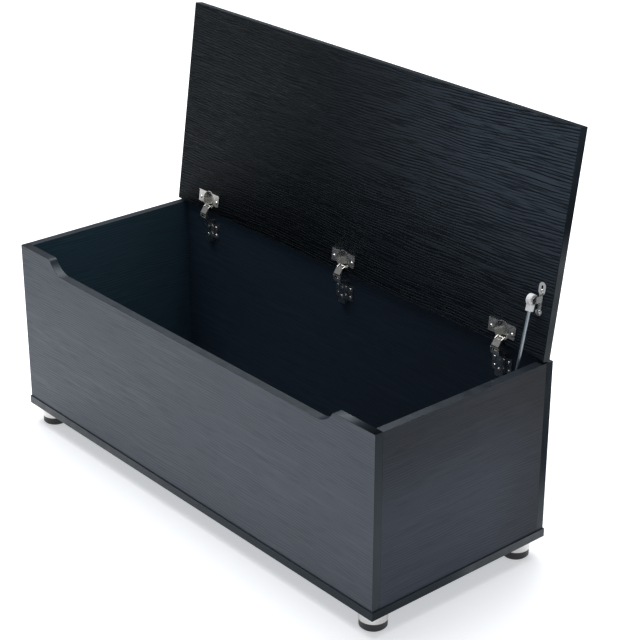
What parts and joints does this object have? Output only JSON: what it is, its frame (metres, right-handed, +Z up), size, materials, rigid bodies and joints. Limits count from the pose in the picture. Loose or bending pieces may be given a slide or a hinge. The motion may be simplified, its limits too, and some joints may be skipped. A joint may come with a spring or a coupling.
{
  "type": "storage bench",
  "caption": "Low storage bench: a black wood-grain box on round feet, scooped front edge, and a top-hung lid on cup hinges with a gas strut, which closes to make the seat.",
  "frame": {"origin": "on the floor, under the middle of the object's own box with the lid open", "axes": "+X along the front towards the right-hand end, +Y from the front to the back, +Z up"},
  "size_m": [1, 0.445, 0.7687],
  "materials": {
    "melamine": "black wood-grain melamine, satin",
    "edging": "satin black edge banding",
    "nickel": "nickel-plated pressed steel",
    "zinc": "zinc-plated steel",
    "chrome": "polished chrome",
    "black_plastic": "moulded black plastic",
    "white_nylon": "moulded white nylon",
    "black_paint": "satin black paint",
    "beech": "plain turned beech"
  },
  "bodies": {
    "root": {"base_panel": "melamine", "base_edging": "edging", "front_panel": "melamine", "front_edging": "edging", "back_panel": "melamine", "back_edging": "edging", "left_side_panel": "melamine", "left_side_edging": "edging", "right_side_panel": "melamine", "right_side_edging": "edging", "corner_dowels": "beech", "cam_bolts": "zinc", "cam_discs": "black_paint", "base_screws": "zinc", "foot_pad_front_left": "black_plastic", "foot_pad_front_right": "black_plastic", "foot_pad_back_left": "black_plastic", "foot_pad_back_right": "black_plastic", "foot_sleeve_front_left": "chrome", "foot_sleeve_front_right": "chrome", "foot_sleeve_back_left": "chrome", "foot_sleeve_back_right": "chrome", "foot_screws": "zinc", "hinge_plate_left": "nickel", "hinge_plate_middle": "nickel", "hinge_plate_right": "nickel", "hinge_arm_left": "nickel", "hinge_arm_middle": "nickel", "hinge_arm_right": "nickel", "hinge_arm_pins": "nickel", "hinge_arm_screws": "nickel", "hinge_plate_screws": "nickel", "strut_wall_bracket": "zinc", "strut_wall_screws": "zinc"},
    "inner_links": {"hinge_inner_link_left": "nickel", "hinge_inner_link_middle": "nickel", "hinge_inner_link_right": "nickel"},
    "outer_links": {"hinge_outer_link_left": "nickel", "hinge_outer_link_middle": "nickel", "hinge_outer_link_right": "nickel"},
    "lid": {"lid_panel": "melamine", "lid_edging": "edging", "hinge_cup_left": "nickel", "hinge_cup_middle": "nickel", "hinge_cup_right": "nickel", "hinge_cup_pins": "nickel", "hinge_cup_screws": "nickel", "strut_lid_bracket": "zinc", "strut_lid_ball": "zinc", "strut_lid_screws": "zinc"},
    "strut_rod": {"strut_upper_socket": "white_nylon", "strut_rod": "chrome", "strut_piston": "zinc"},
    "strut_tube": {"strut_gland": "black_paint", "strut_tube": "black_paint", "strut_lower_socket": "white_nylon", "strut_lower_ball": "zinc"}
  },
  "joints": [
    {"name": "inner_link_turn", "type": "hinge", "parent": "root", "child": "inner_links", "pos_m": [0, 0.14362, 0.36355], "axis": [1, 0, 0], "range_deg": [-33.01, 0.3]},
    {"name": "lid_hinge", "type": "hinge", "parent": "inner_links", "child": "lid", "pos_m": [0, 0.15404, 0.38682], "axis": [1, 0, 0], "range_deg": [0, 130.86]},
    {"name": "outer_link_turn", "type": "hinge", "parent": "root", "child": "outer_links", "pos_m": [0, 0.13996, 0.372], "axis": [1, 0, 0], "range_deg": [-18.76, 0.3]},
    {"name": "strut_swivel", "type": "hinge", "parent": "lid", "child": "strut_rod", "pos_m": [0.4635, 0.15251, 0.47846], "axis": [1, 0, 0], "range_deg": [-82.63, 0.5]},
    {"name": "strut_stroke", "type": "slide", "parent": "strut_rod", "child": "strut_tube", "axis": [0, 0.2164, 0.9763], "range_m": [-0.001, 0.12291]}
  ],
  "couplings": [
    {"joint": "inner_link_turn", "follows": "lid_hinge", "ratio": -0.24998},
    {"joint": "outer_link_turn", "follows": "lid_hinge", "ratio": -0.14106},
    {"joint": "strut_swivel", "follows": "lid_hinge", "ratio": -0.62762},
    {"joint": "strut_stroke", "follows": "lid_hinge", "m_per_rad": 0.053596}
  ]
}
